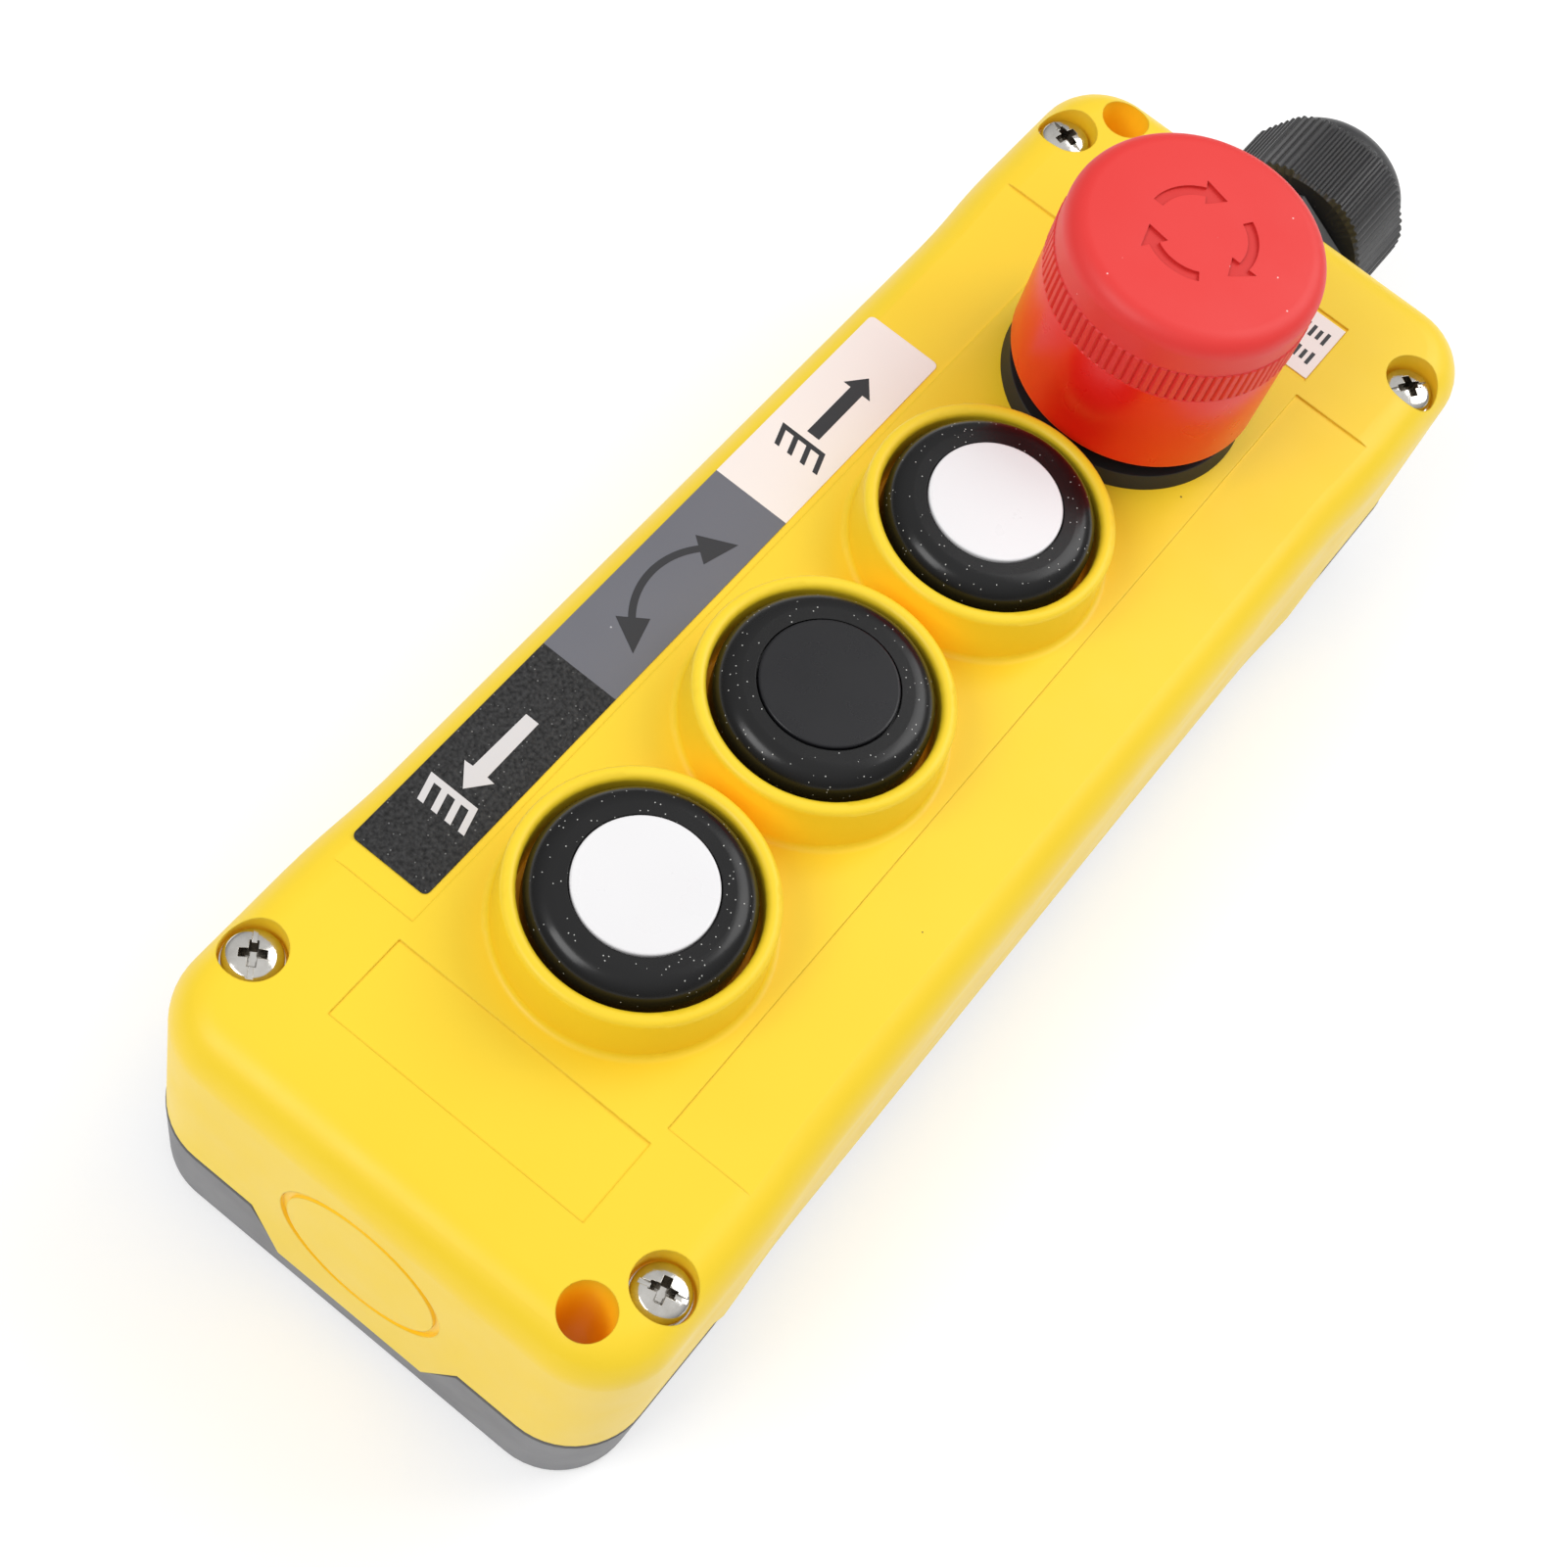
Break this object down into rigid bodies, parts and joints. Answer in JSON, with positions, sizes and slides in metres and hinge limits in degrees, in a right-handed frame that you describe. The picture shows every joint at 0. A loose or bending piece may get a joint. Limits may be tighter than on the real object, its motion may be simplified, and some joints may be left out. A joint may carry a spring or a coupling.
{
  "type": "pendant control station",
  "caption": "Hand-held pendant control station: yellow case with push buttons in raised collars, a red latching stop button, a grey back cover and a cable gland.",
  "frame": {"origin": "centre of the flat back face of the case", "axes": "+X across the width of the case, +Y along its length towards the cable gland, +Z out of the front face that carries the buttons"},
  "size_m": [0.0806, 0.2585, 0.0896],
  "materials": {
    "yellow_housing": "satin",
    "grey_cover": "matte",
    "seal_rubber": "matte",
    "zinc_steel": "satin",
    "insert_brass": "satin",
    "legend_print": "satin",
    "label_white": "satin",
    "black_button": "gloss",
    "white_disc": "gloss",
    "black_disc": "gloss",
    "black_nylon": "matte",
    "spring_steel": "satin",
    "contact_block_plastic": "matte",
    "red_gloss": "gloss",
    "red_matte": "matte"
  },
  "bodies": {
    "case": {"front_housing": "yellow_housing", "back_cover": "grey_cover", "cover_gasket": "seal_rubber", "stop_gasket": "seal_rubber", "gland_seal": "seal_rubber", "raise_button_bellows": "seal_rubber", "turn_button_bellows": "seal_rubber", "lower_button_bellows": "seal_rubber", "cover_screws": "zinc_steel", "screw_washers": "zinc_steel", "block_screws": "zinc_steel", "terminal_screws": "zinc_steel", "brass_inserts": "insert_brass", "raise_fixed_contacts": "insert_brass", "turn_fixed_contacts": "insert_brass", "lower_fixed_contacts": "insert_brass", "stop_fixed_contacts": "insert_brass", "legend_strip": "legend_print", "end_label": "label_white", "raise_guide_bush": "black_nylon", "turn_guide_bush": "black_nylon", "lower_guide_bush": "black_nylon", "stop_body": "black_nylon", "stop_locknut": "black_nylon", "gland_body": "black_nylon", "gland_locknut": "black_nylon", "gland_washer": "black_nylon", "raise_button_spring": "spring_steel", "turn_button_spring": "spring_steel", "lower_button_spring": "spring_steel", "stop_spring": "spring_steel", "raise_contact_block": "contact_block_plastic", "turn_contact_block": "contact_block_plastic", "lower_contact_block": "contact_block_plastic", "stop_contact_block": "contact_block_plastic"},
    "raise_button": {"raise_button_cap": "black_button", "raise_button_disc": "white_disc", "raise_button_plunger": "black_nylon", "raise_contact_bridge": "insert_brass"},
    "turn_button": {"turn_button_cap": "black_button", "turn_button_disc": "black_disc", "turn_button_plunger": "black_nylon", "turn_contact_bridge": "insert_brass"},
    "lower_button": {"lower_button_cap": "black_button", "lower_button_disc": "white_disc", "lower_button_plunger": "black_nylon", "lower_contact_bridge": "insert_brass"},
    "stop_plunger": {"stop_shaft": "black_nylon", "stop_contact_bridge": "insert_brass"},
    "stop_head": {"stop_cap": "red_matte", "stop_skirt": "red_gloss"},
    "gland_travel": {"gland_slip_ring": "black_nylon"},
    "gland_cap": {"gland_nut": "black_nylon"}
  },
  "joints": [
    {"name": "raise_press", "type": "slide", "parent": "case", "child": "raise_button", "axis": [0, 0, -1], "range_m": [0, 0.004], "stiffness_N_per_m": 600, "springref_m": -0.003, "deforming": ["raise_button_spring", "raise_button_bellows"]},
    {"name": "turn_press", "type": "slide", "parent": "case", "child": "turn_button", "axis": [0, 0, -1], "range_m": [0, 0.004], "stiffness_N_per_m": 600, "springref_m": -0.003, "deforming": ["turn_button_spring", "turn_button_bellows"]},
    {"name": "lower_press", "type": "slide", "parent": "case", "child": "lower_button", "axis": [0, 0, -1], "range_m": [0, 0.004], "stiffness_N_per_m": 600, "springref_m": -0.003, "deforming": ["lower_button_spring", "lower_button_bellows"]},
    {"name": "stop_press", "type": "slide", "parent": "case", "child": "stop_plunger", "axis": [0, 0, -1], "range_m": [0, 0.0037], "deforming": ["stop_spring"]},
    {"name": "stop_release_turn", "type": "hinge", "parent": "stop_plunger", "child": "stop_head", "pos_m": [0, 0.0605, 0.08], "axis": [0, 0, 1], "range_deg": [-45, 0], "stiffness_Nm_per_rad": 0.05, "springref_deg": 11.46},
    {"name": "gland_travel", "type": "slide", "parent": "case", "child": "gland_travel", "axis": [0, 1, 0], "range_m": [0, 0.00301]},
    {"name": "gland_turn", "type": "hinge", "parent": "gland_travel", "child": "gland_cap", "pos_m": [0, 0.132, 0.029], "axis": [0, 1, 0], "range_deg": [0, 720]}
  ],
  "couplings": [
    {"joint": "gland_travel", "follows": "gland_turn", "m_per_rad": 0.00023873}
  ]
}
